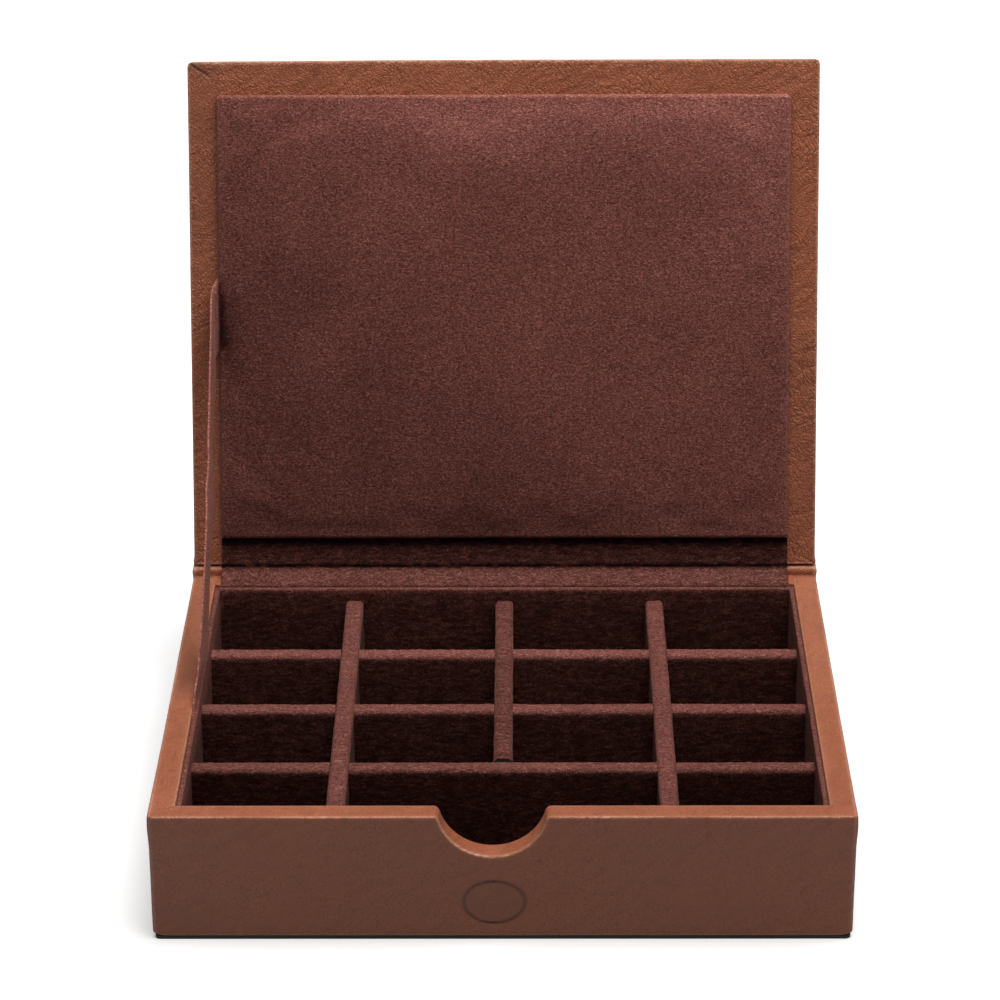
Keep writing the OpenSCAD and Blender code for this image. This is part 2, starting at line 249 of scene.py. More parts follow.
def leather_material(name, pebble, cell, wrinkle, gloss, gain):
    """Finished leather. pebble is the grain's strength, cell its size in metres, wrinkle the strength of the
    creases, gloss the specular level, and gain scales the colour."""
    m = new_material(
        name, Specular_IOR_Level=gloss, Sheen_Weight=0.04, Sheen_Roughness=0.45,
        Sheen_Tint=(1.0, 0.90, 0.84, 1),
    )
    place = rest_place(m)
    cells = cell_edges(m, warped(m, place, 300.0, 0.0009), 1 / cell)
    slanted = stretched(m, warped(m, place, 90.0, 0.004), (520, 520, 170), (0.0, 0.55, 0.0))
    creases = cell_edges(m, slanted, 1.0)
    fine = noise_of(m, place, 2600.0, 3.0, 0.65)
    soft = noise_of(m, place, 34.0, 3.0, 0.5)
    patch = noise_of(m, place, 9.0, 2.0, 0.5)
    where = ramp(m, noise_of(m, place, 55.0, 2.0), [(0.38, grey(0.30)), (0.66, grey(1))])
    drawn = stretched(m, warped(m, place, 40.0, 0.008), (90, 90, 300), (0.0, 0.6, 0.0))
    ripple = noise_of(m, drawn, 1.0, 2.0, 0.5)

    tone = ramp(m, soft, [(0.30, scaled(TAN_DEEP, gain)), (0.70, scaled(TAN_LIGHT, gain))])
    tone = layered(m, tone, 1.0, ripple, [(0.35, grey(0.92)), (0.65, grey(1.08))])
    tone = mixed(m, math_of(m, "MULTIPLY", patch, 0.35), tone, TAN_PATCH)
    tone = layered(m, tone, 0.62 * pebble, cells, [
        (0.0, (0.60, 0.53, 0.49)), (0.08, (0.95, 0.94, 0.93)), (0.34, (1.16, 1.20, 1.24)),
    ])
    tone = layered(m, tone, math_of(m, "MULTIPLY", where, wrinkle), creases, [
        (0.0, (0.58, 0.50, 0.46)), (0.05, grey(1)), (0.12, (1.34, 1.44, 1.52)), (0.24, grey(1)),
    ])
    tone = layered(m, tone, 0.9, fine, [(0.34, (0.80, 0.77, 0.75)), (0.62, (1.12, 1.12, 1.13))])
    # The first mask mixes in the lighter tan for scuffed edges, painted highlights and painted light; the
    # shade mask mixes in painted shade.
    rubbed_and_lit = ramp(m, noise_of(m, place, 420.0, 3.0), [(0.25, grey(0.35)), (0.6, grey(1))])
    worn_and_lit = math_of(m, "MULTIPLY", mesh_mask(m, "wear_and_light"), rubbed_and_lit)
    tone = mixed(m, math_of(m, "MULTIPLY", worn_and_lit, 0.72), tone, TAN_WORN_AND_LIT)
    tone = mixed(m, mesh_mask(m, "shade"), tone, TAN_SHADED)

    rough = math_of(m, "MULTIPLY_ADD", soft, 0.16, 0.44)
    crease_height = math_of(m, "MULTIPLY", math_of(m, "MINIMUM", creases, 0.2), where)
    to_shader(
        m, Base_Color=tone,
        Roughness=math_of(m, "SUBTRACT", rough, math_of(m, "MULTIPLY", worn_and_lit, 0.14)),
        Normal=bumped(m, [
            (soft, 0.25, 0.0007),
            (ripple, 0.7, 0.0014),
            (crease_height, wrinkle, 0.0011),
            (math_of(m, "MINIMUM", cells, 0.3), pebble, 0.00055),
            (fine, 0.40, 0.00010),
        ]),
    )
    return m


BROWNS = (0.046, 0.0130, 0.0102), (0.092, 0.0298, 0.0236), (0.195, 0.0760, 0.0620)


def suede_material(name, gain, sheen, rub_and_light, streak):
    """Brushed suede: a mottled nap in three browns times gain, with a fibre sheen. Where the lighter mask
    holds scuffed nap and painted light, it is made lighter by the factor given after sheen, and it is
    streaked along x where that mask isn't set; the shade mask darkens it with painted shade."""
    m = new_material(
        name, Roughness=0.96, Specular_IOR_Level=0.06,
        Sheen_Weight=sheen, Sheen_Roughness=0.4, Sheen_Tint=(1.0, 0.50, 0.38, 1),
    )
    place = rest_place(m)
    nap_height = noise_of(m, stretched(m, place, (1100, 2000, 2000)), 1.0, 2.0, 0.6, 0.9)
    fibre = noise_of(m, stretched(m, place, (2400, 3400, 3400)), 1.0, 2.0, 0.7)
    lumps = noise_of(m, stretched(m, place, (280, 800, 800)), 1.0, 2.0, 0.5, 0.5)
    clouds = noise_of(m, place, 26.0, 3.0, 0.55, 0.4)
    wear_and_light, shade = mesh_mask(m, "wear_and_light"), mesh_mask(m, "shade")
    streaks = math_of(m, "MULTIPLY", math_of(m, "MULTIPLY_ADD", wear_and_light, -1.1, 1.0, clamp=True), streak)

    tone = ramp(m, nap_height, list(zip((0.32, 0.50, 0.70), (scaled(brown, gain) for brown in BROWNS))))
    for layer, share, low, high in (
        (fibre, 1.0, (0.60, 0.56, 0.55), (1.52, 1.56, 1.56)),
        (lumps, streaks, (0.50, 0.45, 0.45), (1.60, 1.66, 1.62)),
        (clouds, 1.0, (0.91, 0.90, 0.90), (1.09, 1.10, 1.10)),
    ):
        tone = layered(m, tone, share, layer, [(0.32, low), (0.50, grey(0.98)), (0.68, high)])
    # Scuffing and painted light lighten the nap here; painted shade darkens it on the next lines.
    tone = mixed(m, wear_and_light, tone, (rub_and_light, rub_and_light * 1.05, rub_and_light * 1.05, 1), "MULTIPLY")
    gloom = [(0.40, grey(0)), (0.52, (0.04, 0.02, 0.02)), (0.70, (0.34, 0.20, 0.17))]
    tone = layered(m, tone, shade, lumps, gloom)
    to_shader(m, Base_Color=tone, Normal=bumped(m, [
        (clouds, 0.2, 0.0008), (lumps, 0.4, 0.0005), (nap_height, 0.9, 0.0004), (fibre, 0.8, 0.00020),
    ]))
    return m


def paper_board_material(name, light, dark, size):
    m = new_material(name, Roughness=0.88, Specular_IOR_Level=0.2)
    place = object_place(m)
    fibres = noise_of(m, stretched(m, place, (size, size * 3, size * 3)), 1.0, 5.0, 0.65, 0.4)
    specks = noise_of(m, place, 1500.0, 2.0, 0.5)
    tone = ramp(m, fibres, [(0.3, dark), (0.7, light)])
    tone = layered(m, tone, 0.5, specks, [(0.3, grey(0.8)), (0.6, grey(1.1))])
    to_shader(m, Base_Color=tone, Normal=bumped(m, [(fibres, 0.3, 0.0003), (specks, 0.3, 0.0001)]))
    return m


def foot_material():
    """Black textured backing paper on the underside, a little scuffed."""
    m = new_material("foot_black", Specular_IOR_Level=0.35)
    place = object_place(m)
    weave = noise_of(m, place, 1100.0, 3.0, 0.6)
    scuffs = noise_of(m, stretched(m, place, (30, 140, 140), (0, 0, 0.4)), 1.0, 5.0, 0.7, 0.8)
    tone = ramp(m, scuffs, [(0.35, (0.010, 0.009, 0.010)), (0.75, (0.030, 0.027, 0.028))])
    tone = layered(m, tone, 0.5, weave, [(0.3, grey(0.6)), (0.7, grey(1.4))])
    to_shader(
        m, Base_Color=tone,
        Roughness=ramp(m, scuffs, [(0.3, grey(0.62)), (0.8, grey(0.8))]),
        Normal=bumped(m, [(weave, 0.5, 0.00015)]),
    )
    return m


def foam_material():
    m = new_material("pad_foam_cream", Roughness=0.95, Specular_IOR_Level=0.1)
    place = object_place(m)
    pores = add_node(m, "ShaderNodeTexVoronoi", {"Vector": place, "Scale": 1400.0}).outputs["Distance"]
    tone = ramp(m, pores, [(0.1, (0.50, 0.44, 0.33)), (0.6, (0.80, 0.74, 0.60))])
    to_shader(m, Base_Color=tone, Normal=bumped(m, [(pores, 0.6, 0.0003)]))
    return m


LEATHER_SMOOTH = leather_material("leather_tan_fine", 0.62, 0.00115, 0.55, 0.40, 0.99)
LEATHER_GRAINED = leather_material("leather_tan_pebbled", 0.90, 0.00115, 1.0, 0.29, 0.92)
# The pad's and the strap's suede is the tray's suede made about twice as light: painted light where the lamp
# grazes the lid.
SUEDE_LIT_PAD = suede_material("suede_brown_pad_painted_light", 1.95, 0.26, 2.2, 0.07)
SUEDE_TRAY = suede_material("suede_brown_tray", 0.93, 0.10, 2.9, 0.85)
BOARD = paper_board_material("greyboard", (0.50, 0.40, 0.28), (0.34, 0.26, 0.17), 180.0)
CARD = paper_board_material("liner_card", (0.36, 0.34, 0.30), (0.26, 0.24, 0.21), 320.0)
FOOT = foot_material()
FOAM = foam_material()


# ---------------- mesh helpers

def loft(sections):
    """Quads between closed sections with the same number of points, and a cap on both ends."""
    n, count = len(sections[0]), len(sections)
    faces = [
        (i * n + j, i * n + (j + 1) % n, (i + 1) * n + (j + 1) % n, (i + 1) * n + j)
        for i in range(count - 1) for j in range(n)
    ]
    faces += [tuple(range(n)), tuple(range((count - 1) * n, count * n))]
    return [p for s in sections for p in s], faces


def rings(columns):
    """Quads between columns of points, the last of which joins on to the first."""
    n, count = len(columns[0]), len(columns)
    faces = [
        (i * n + j, i * n + j + 1, (i + 1) % count * n + j + 1, (i + 1) % count * n + j)
        for i in range(count) for j in range(n - 1)
    ]
    return [p for c in columns for p in c], faces


def build(name, points, faces, material, wear_and_light=None, shade=None, sharp=50):
    """A cleaned mesh object. The two masks are functions from a point to 0..1, for the material: the first
    lightens with scuffing, painted highlights and painted light, the second darkens with painted shade.
    """
    mesh = bpy.data.meshes.new(name)
    mesh.from_pydata([Vector(p) * MM for p in points], [], faces)
    clean = bmesh.new()
    clean.from_mesh(mesh)
    bmesh.ops.remove_doubles(clean, verts=clean.verts, dist=2e-6)
    bmesh.ops.dissolve_degenerate(clean, edges=clean.edges, dist=1e-6)
    bmesh.ops.recalc_face_normals(clean, faces=clean.faces)
    clean.to_mesh(mesh)
    clean.free()
    piece = bpy.data.objects.new(name, mesh)
    bpy.context.scene.collection.objects.link(piece)
    finish_mesh(piece, material, wear_and_light, shade, sharp)
    return piece


def finish_mesh(piece, material, wear_and_light=None, shade=None, sharp=50):
    mesh = piece.data
    mesh.shade_smooth()
    mesh.set_sharp_from_angle(angle=math.radians(sharp))
    mesh.materials.clear()
    mesh.materials.append(material)
    places = np.zeros(len(mesh.vertices) * 3, np.float32)
    mesh.vertices.foreach_get("co", places)
    set_mask(mesh, "rest_place", places, "FLOAT_VECTOR", "vector")
    spots = places.reshape(-1, 3) / MM
    # The first mask holds scuffing with painted highlights and painted light; the shade mask holds painted
    # shade.
    for label, rule in (("wear_and_light", wear_and_light), ("shade", shade)):
        values = np.zeros(len(spots), np.float32)
        if rule is not None:
            values = np.clip(np.array([rule(p) for p in spots], np.float32), 0, 1)
        set_mask(mesh, label, values, "FLOAT", "value")


def set_mask(mesh, label, values, kind, field):
    layer = mesh.attributes.get(label) or mesh.attributes.new(label, kind, "POINT")
    layer.data.foreach_set(field, values)


def cut(piece, low, high):
    """Takes a box out of a piece, with an exact boolean."""
    points = [(x, y, z) for x in (low[0], high[0]) for y in (low[1], high[1]) for z in (low[2], high[2])]
    faces = [(0, 1, 3, 2), (4, 6, 7, 5), (0, 4, 5, 1), (2, 3, 7, 6), (0, 2, 6, 4), (1, 5, 7, 3)]
    cutter = build(piece.name + "_cutter", points, faces, piece.data.materials[0])
    modifier = piece.modifiers.new("cut", "BOOLEAN")
    modifier.operation = "DIFFERENCE"
    modifier.solver = "EXACT"
    modifier.object = cutter
    apply_modifiers(piece)
    bpy.data.objects.remove(cutter)


def apply_modifiers(piece):
    graph = bpy.context.evaluated_depsgraph_get()
    mesh = bpy.data.meshes.new_from_object(piece.evaluated_get(graph))
    piece.modifiers.clear()
    piece.data = mesh


def arc(cx, cy, r, start, end, steps):
    return [
        (cx + r * math.cos(math.radians(a)), cy + r * math.sin(math.radians(a)))
        for a in np.linspace(start, end, steps + 1)
    ]


def stations(start, end, step):
    """Evenly spread values from start to end, about a step apart."""
    return np.linspace(start, end, max(2, round(abs(end - start) / step) + 1))


def bell(distance, width):
    return math.exp(-(distance / width) ** 2)


def smooth(t):
    t = min(1.0, max(0.0, t))
    return t * t * (3 - 2 * t)


def flow(p, size, seed=0.0):
    """Smooth noise of about -1..1 that changes over size millimetres."""
    return noise.noise((p[0] / size + seed, p[1] / size - seed, p[2] / size + 2 * seed))


# ---------------- base leather

def rim_outline():
    """Points of the front rim: x, z, then the direction out of the leather, with the notch."""
    tilt = math.degrees(math.atan2(NOTCH_DROP, NOTCH_HALF))
    edge = HALF_W - CORNER_R
    fine = np.arange(-edge, -edge + 9, 0.4)
    made = []

    def straight(x0, x1):
        close = [x for x in (*fine, *-fine) if x0 < x < x1]
        made.extend((x, RIM_Z, 0.0, 1.0) for x in np.unique([*np.arange(x0, x1, 2.0), x1, *close]))

    def curve(cx, cz, r, start, end, steps, sign):
        for a in np.linspace(math.radians(start), math.radians(end), steps + 1)[1:-1]:
            made.append((cx + r * math.cos(a), cz + r * math.sin(a), sign * math.cos(a), sign * math.sin(a)))

    straight(-edge, NOTCH_X - NOTCH_HALF)
    curve(NOTCH_X - NOTCH_HALF, RIM_Z - NOTCH_FILLET, NOTCH_FILLET, 90, tilt, 9, 1)
    curve(NOTCH_X, RIM_Z + NOTCH_RISE, NOTCH_R, 180 + tilt, 360 - tilt, 104, -1)
    curve(NOTCH_X + NOTCH_HALF, RIM_Z - NOTCH_FILLET, NOTCH_FILLET, 180 - tilt, 90, 9, 1)
    straight(NOTCH_X + NOTCH_HALF, edge)
    return made


# The pressed ring's middle and half sizes, and two marks on the left rim: painted highlights on small
# creases, and a painted shadow of the strap.
SEAL_X, SEAL_Z = -3.0, 15.2
SEAL_WIDE, SEAL_TALL = 11.0, 8.6
CREASE_GLINT_X, CREASE_GLINT_Y = -117.3, -92.6
STRAP_SHADOW_X, STRAP_SHADOW_Y = -121.6, 8.0
# The rim's width, how much painted shade darkens the outer walls, where the fine columns by the front corners
# end, and the height below which the upright corners are worn round.
RIM_WIDTH = 8.6
WALL_PAINTED_SHADE = 0.27
FINE_END = -88.0
FOOT_ROUND = 2.9


def near_seal(x, y, z, depth):
    return y < -HALF_D + depth and abs(x - SEAL_X) < 16 and z < 28


def seal_depth(x, z):
    """A plain oval ring pressed into the front, with its middle a little lower than the leather."""
    d = (math.hypot((x - SEAL_X) / SEAL_WIDE, (z - SEAL_Z) / SEAL_TALL) - 1.0) * 9.2
    return 0.55 * bell(d, 0.62) + 0.20 / (1 + math.exp(min(60.0, d / 0.35)))


def steps_between(start, end, shares):
    """Pairs along the straight line from start to end."""
    return [(start[0] + (end[0] - start[0]) * t, start[1] + (end[1] - start[1]) * t) for t in shares]


def base_column(x0, rim, bottom, place):
    """One column of the leather, from under the base, up the outside, over the rim and back inside.
    rim is the rim's z and the direction out of the leather; place puts (x, z, depth) on the base."""
    r_low, r_out, r_in, thick = 0.9, 0.95, 0.8, HALF_D + SKIN_FRONT
    rim_z, nx, nz = rim

    def at(u, d):
        return x0 - nx * d, rim_z - nz * d, u

    flat = [(u, SKIN_Z) for u in (TURN_UNDER, 9, 5, 3)]
    flat += arc(r_low, SKIN_Z + r_low, r_low, 270, 180, 6)
    made = [(bottom, z, u) for u, z in flat]
    outside = steps_between((bottom, SKIN_Z + r_low), at(0, r_out)[:2], np.linspace(0, 1, 84)[1:-1])
    made += [(x, z, 0.0) for x, z in outside]
    made += [at(r_out + u, r_out - d) for u, d in arc(0, 0, r_out, 180, 90, 7)]
    made += [at(u, 0) for u in (2.2, 3.6, 5.0, 6.4)]
    made += [at(thick - r_in + u, r_in - d) for u, d in arc(0, 0, r_in, 90, 0, 6)]
    low = RIM_Z - TURN_DOWN
    inside = steps_between(at(thick, r_in)[:2], (bottom, low), (0.08, 0.2, 0.4, 0.7, 1.0))
    made += [(x, z, thick) for x, z in inside]
    made.append((bottom, low, thick - LEATHER_T))
    made += [at(thick - LEATHER_T, LEATHER_T + 0.4), at(thick - LEATHER_T - 0.4, LEATHER_T)]
    made += [at(LEATHER_T + 0.4, LEATHER_T), at(LEATHER_T, LEATHER_T + 0.4)]
    made += [(bottom, SKIN_Z + LEATHER_T, u) for u in (LEATHER_T, TURN_UNDER)]
    return [place(x, z, u) for x, z, u in made]


def side_column(side, y):
    """A column of the left (-1) or right (1) wall at y. The layers inside are mitred with the front's."""

    def place(_, z, u):
        return side * (HALF_W - u), max(y, u - HALF_D) if u > CORNER_R else y, z

    return base_column(0, (RIM_Z, 0, 1), 0, place)


def corner_column(side, turn):
    """A column of a rounded front corner, turn degrees round from the side wall."""
    a = math.radians(180 + turn)

    def place(_, z, u):
        if u >= CORNER_R:
            return side * (HALF_W - u), u - HALF_D, z
        out = CORNER_R - u
        return side * (HALF_W - CORNER_R - out * math.cos(a)), CORNER_R - HALF_D + out * math.sin(a), z

    return base_column(0, (RIM_Z, 0, 1), 0, place)


def front_columns():
    """Columns along the front. Below the notch they are spread evenly."""

    def place(x, z, u):
        return max(min(x, HALF_W - u), u - HALF_W) if u > CORNER_R else x, u - HALF_D, z

    outline = rim_outline()
    inside = [i for i, p in enumerate(outline) if abs(p[0] - NOTCH_X) < NOTCH_HALF + 0.005]
    first, last = inside[0] - 1, inside[-1] + 1
    columns = []
    for i, (x, z, nx, nz) in enumerate(outline):
        share = (i - first) / (last - first)
        bottom = outline[first][0] + (outline[last][0] - outline[first][0]) * share if 0 < share < 1 else x
        columns.append(base_column(x, (z, nx, nz), bottom, place))
    return columns


def base_leather():
    """Columns from the left side's back end, round the front, to the right side's back end."""
    front = CORNER_R - HALF_D
    ys = np.unique([*np.linspace(front, BACK_Y, 68), *np.arange(front, FINE_END, 0.4)])
    turns = np.linspace(0, 90, 9)[1:-1]
    columns = [side_column(-1, y) for y in ys[::-1]]
    columns += [corner_column(-1, turn) for turn in turns]
    columns += front_columns()
    columns += [corner_column(1, turn) for turn in turns[::-1]]
    columns += [side_column(1, y) for y in ys]
    return [[shaped_base(p) for p in c] for c in columns]


def rim_mitre(x, y, z, width):
    """1 on the line where the rim's leather is mitred at a front corner, and less over width beside it."""
    if z <= RIM_Z - 0.9 or y >= SKIN_FRONT + 0.2:
        return 0.0
    side, front = HALF_W - abs(x), y + HALF_D
    return bell(abs(side - front) / math.sqrt(2), width) * bell(side - RIM_WIDTH, 1.6)


def shaped_base(p):
    """Softens the leather: slight waves on the outer faces, mitre folds on the rim, and the pressed ring."""
    x, y, z = p
    side, front = HALF_W - abs(x), y + HALF_D
    wave = 0.10 * flow(p, 34, 3.1) + 0.05 * flow(p, 11, 7.7)
    swell = 0.3 + 0.45 * bell(z - 45, 6) * smooth((-60 - y) / 40)
    dx = -math.copysign(1, x) * bell(side, 0.5) * (wave - swell)
    dy = bell(front, 0.5) * (0.12 + wave)
    if near_seal(x, y, z, 0.02):
        dy += seal_depth(x, z)
    if z < FOOT_ROUND:
        corner = bell(side, 2.6) * bell(front, 2.6) * ((FOOT_ROUND - z) / 1.6) ** 2
        dx -= math.copysign(2.0 * corner, x)
        dy += 0.8 * corner
    dz = -0.22 * rim_mitre(x, y, z, 0.4)
    if z > RIM_Z - 0.3:
        dz += 0.05 * flow(p, 26, 1.3) - 0.05
    return x + dx, y + dy, z + dz


def notch_gap(x, z):
    """Distance in from the notch's arc; negative in the wall."""
    return NOTCH_R - math.hypot(x - NOTCH_X, z - RIM_Z - NOTCH_RISE)


# Lighter leather on the base: scuffing on its edges and corners, painted highlights along the rim's outer
# edge and round the notch, painted highlights on small creases near the rim's inner left corner, and painted
# light on the rim towards the back.
def base_wear_and_light(p):
    x, y, z = p
    side, front = HALF_W - abs(x), y + HALF_D
    out = min(side, front)
    rubbed_and_lit = 0.8 + 0.7 * flow(p, 26, 5.0)
    along_rim = 0.7 * bell(RIM_Z - 0.25 - z, 0.42) * bell(out - 0.3, 0.5)
    around_notch = crease_glint = rear = 0.0
    if front < 1.2 and abs(x - NOTCH_X) < NOTCH_REACH:
        around_notch = 0.85 * bell(notch_gap(x, z) + 0.3, 0.45) * bell(out - 0.3, 0.5)
    inner = 0.5 * bell(RIM_Z - 0.2 - z, 0.4) * bell(out - RIM_WIDTH - 0.1, 0.4)
    foot = 0.35 * bell(z - SKIN_Z - 0.5, 0.5) * bell(out - 0.4, 0.6)
    upright = 0.35 * bell(side - 0.4, 0.5) * bell(front - 0.4, 0.5)
    if z > RIM_Z - 0.6:
        crease_glint = 0.9 * bell(x - CREASE_GLINT_X, 1.0) * bell(y - CREASE_GLINT_Y, 1.6) * (0.5 + flow(p, 0.8, 4.0))
        # Painted light: the rim grows lighter towards the back.
        rear = 0.13 * smooth((y + 60) / 130)
    return max(along_rim * rubbed_and_lit, around_notch * rubbed_and_lit, inner, foot, upright, crease_glint, rear)


def base_shade(p):
    """Painted shade: darker outer walls, in the pressed ring, along the mitre seams and at the back edge, and
    a painted shadow of the strap on the left rim.
    """
    x, y, z = p
    ring = wall = strap_shadow = 0.0
    if near_seal(x, y, z, 0.9):
        ring = 0.5 * min(1.0, seal_depth(x, z) / 0.6)
    back = 0.6 * bell(y - BACK_Y, 0.5) if z > RIM_Z - 1.5 else 0.0
    front = y + HALF_D
    if min(HALF_W - abs(x), front) < 1.3:
        below = RIM_Z - z
        if front < 1.3:
            below = min(below, -notch_gap(x, z))
        wall = WALL_PAINTED_SHADE * smooth((below - 0.9) / 0.7)
    # A painted shadow of the strap on the left rim.
    if z > RIM_Z - 1.2 and x < 0:
        strap_shadow = 0.45 * bell(x - STRAP_SHADOW_X, 2.4) * bell(y - STRAP_SHADOW_Y, 13) * (0.75 + 0.5 * flow(p, 6, 2.0))
    return max(wall + ring, 0.35 * rim_mitre(x, y, z, 0.25), back, strap_shadow)


base_points, base_faces = loft(base_leather())
base_cover = build("base_leather", base_points, base_faces, LEATHER_SMOOTH, base_wear_and_light, base_shade)
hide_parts("base_leather_cover")
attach(base_cover, "base")


def rim_end(side):
    """The turned-in leather at the back end of a side rim, beside the hinge lining."""
    top, low, outer, inner = RIM_Z - 0.12, LINER_TOP - 2.5, SKIN_X + 0.4, LINING_X + 0.15
    sections = []
    for y in (LINING_FACE - 0.05, *np.linspace(LINING_FACE, BACK_Y - 0.1, 12), BACK_Y):
        drop = 0.35 * bell(y - LINING_FACE, 0.5)
        section = [(outer, low), (inner, low)]
        section += [(inner + 0.5 + u, top - 0.5 + v - drop) for u, v in arc(0, 0, 0.5, 180, 90, 4)]
        section += [(outer, top - drop)]
        sections.append([(side * x, y, z) for x, z in section])
    points, faces = loft(sections)
    name = "rim_end_left" if side < 0 else "rim_end_right"
    piece = build(name, points, faces, LEATHER_SMOOTH)
    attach(piece, "base")


rim_end(-1)
rim_end(1)


# ---------------- panels with rounded rims

def panel(x_half, y_low, y_high, radius, profile, step, fine=0.0):
    """Sweeps a profile of (inset, z) round a rectangle. Deep insets close onto the middle line."""
    xs = stations(radius - x_half, x_half - radius, step)
    ys = stations(y_low + radius, y_high - radius, step)
    if fine:
        near = np.arange(radius, 22, fine)
        xs = np.unique(np.concatenate([xs, near - x_half, x_half - near]).round(4))
        ys = np.unique(np.concatenate([ys, near + y_low, y_high - near]).round(4))
    middle = (y_low + y_high) / 2
    centres = ((x_half, y_high), (-x_half, y_high), (-x_half, y_low), (x_half, y_low))
    columns = []

    def held(x, y, u):
        return (
            max(min(x, max(0.0, x_half - u)), -max(0.0, x_half - u)),
            max(min(y, max(middle, y_high - u)), min(middle, y_low + u)),
        )

    def straight(points):
        for x, y, ox, oy in points:
            columns.append([
                (*held(x + ox * (u - radius) if ox else x, y + oy * (u - radius) if oy else y, u), z)
                for u, z in profile
            ])

    def bend(k):
        cx, cy = centres[k]
        cx -= math.copysign(radius, cx)
        cy -= radius if cy > middle else -radius
        for turn in np.linspace(0, 90, 7)[1:-1]:
            a = math.radians(90 * k + turn)
            column = []
            for u, z in profile:
                if u < radius:
                    column.append((cx + (radius - u) * math.cos(a), cy + (radius - u) * math.sin(a), z))
                else:
                    column.append((*held(math.copysign(1e4, cx), 1e4 if cy > middle else -1e4, u), z))
            columns.append(column)

    for k, side in enumerate((
        [(x_half - radius, y, -1, 0) for y in ys],
        [(x, y_high - radius, 0, -1) for x in xs[::-1]],
        [(radius - x_half, y, 1, 0) for y in ys[::-1]],
        [(x, y_low + radius, 0, 1) for x in xs],
    )):
        straight(side)
        bend(k)
    return columns


def lid_leather():
    """The lid's leather, from its turned-in edge round the rim and over the top, drawn on the shut lid."""
    r_in, r_out = 0.5, 0.6
    top, low = LID_Z + LID_T, LID_Z
    profile = [(u, low) for u in (TURN_IN, 15, 11, 8.4, *np.arange(7.6, 0.7, -0.4))]
    profile += arc(r_in, low + r_in, r_in, 270, 180, 6)
    profile += [(0, low + rise) for rise in (2.0, 3.0, 4.0, 4.8)]
    profile += arc(r_out, top - r_out, r_out, 180, 90, 7)
    profile += [(u, top) for u in (3, 5, 8, 12, 17, 23, 30, 38, 48, 60, 74, 88, HALF_D)]
    profile += [(u, top - LEATHER_T) for u in (HALF_D, 40, LEATHER_T)]
    profile += [(LEATHER_T, low + LEATHER_T), (TURN_IN, low + LEATHER_T), (TURN_IN, low)]
    return panel(HALF_W, -HALF_D, HALF_D, CORNER_R, profile, 2.4, 0.45)


def lid_grow(x):
    """How far the leather stands out along the lid's front edge, more to the right."""
    return 1.0 + 0.8 * (1 - math.exp(-(x + HALF_W) / 70))


def corner_fold(side, end):
    """Distance to the line of a folded corner, from the distances to the side and to the front or back."""
    return abs(0.67 * side - end) / 1.2


def shaped_lid(p):
    """Waves in the lid's leather, drawn on the shut lid."""
    x, y, z = p
    out = min(HALF_W - abs(x), HALF_D - abs(y))
    wave = 0.13 * flow(p, 30, 5.2) + 0.06 * flow(p, 9, 2.2)
    if z > LID_Z + LID_T - 0.5:
        z += -0.20 + wave * min(1.0, out / 3) + 0.12 * bell(out - 5, 4)
    elif z < LID_Z + 0.5 and out < TURN_IN - 1:
        fold = corner_fold(HALF_W - abs(x), HALF_D - abs(y))
        z += 0.12 + 0.6 * wave + 0.55 * bell(fold, 0.45) * lid_fold(x, y, out)
    x -= math.copysign(1, x) * bell(HALF_W - abs(x), 0.4) * (0.08 + 0.5 * wave)
    y -= math.copysign(1, y) * bell(HALF_D - abs(y), 0.4) * 0.5 * wave
    if y < 20 - HALF_D:
        y -= smooth((20 - HALF_D - y) / 12) * lid_grow(x)
    if y > 0:
        x += math.copysign(0.7, x) * bell(HALF_D - y, 2.2) * bell(HALF_W - abs(x), 2.2)
    return x, y, z


def lid_fold(x, y, out):
    """How deep a folded corner of the turned-in leather shows: long at one front corner, else short."""
    reach = 6.5 if x < 0 and y < 0 else 2.2
    return min(1.0, out / 0.5) * min(1.0, max(0.0, (reach - out) / 2.0))


def lid_edges(x, y):
    """Distances from a point of the finished lid to its side and to its front or back edge."""
    return HALF_W - abs(x), min(y + HALF_D + lid_grow(x), HALF_D - y)


# Lighter edges of the lid's leather: scuffing on its rounded edges, with a painted highlight on the front
# edge's face and along the inner rounded edge below it.
def lid_wear_and_highlight(p):
    x, y, z = shut_again(p)
    side, end = lid_edges(x, y)
    out = min(side, end)
    inner = 0.8 * bell(z - LID_Z - 0.35, 0.45) * bell(out - 0.35, 0.5)
    outer = 0.65 * bell(LID_Z + LID_T - 0.4 - z, 0.5) * bell(out - 0.4, 0.6)
    front = 0.0
    if y < 0 and z < LID_Z + LID_T - 0.3:
        front = 0.9 * bell(max(0.0, end - 0.4), 0.7)
    return max(inner, outer, front * (0.85 + 0.5 * flow((x, 0, 0), 9, 3.0)))


# Painted shade on the lid's leather: on its outer side faces, in the folded corners of the turned-in edge,
# over its left border, and over its right border towards the hinge.
def lid_shade(p):
    x, y, z = shut_again(p)
    side, end = lid_edges(x, y)
    if z > LID_Z + LID_T - 0.5 or end < 0.6:
        return 0.0
    if side < 0.2:
        return 0.55 * smooth((z - LID_Z - 0.5) / 0.6)
    fold = 0.9 * bell(corner_fold(side, end), 0.38) * lid_fold(x, y, min(side, end))
    left = 0.16 * smooth((-HALF_W + 14 - x) / 2)
    right = 0.13 * smooth((y + 10) / 60) * smooth((x - HALF_W + 14) / 2)
    return max(fold, (left + right) * (0.9 + 0.6 * flow((x, y, 0), 30, 7.0)))


lid_columns = [[shaped_lid(p) for p in c] for c in lid_leather()]
lid_points, lid_faces = rings(lid_columns)
lid_cover = build("lid_leather", opened(lid_points), lid_faces, LEATHER_GRAINED, lid_wear_and_highlight, lid_shade)
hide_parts("lid_leather_cover")
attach(lid_cover, "lid")


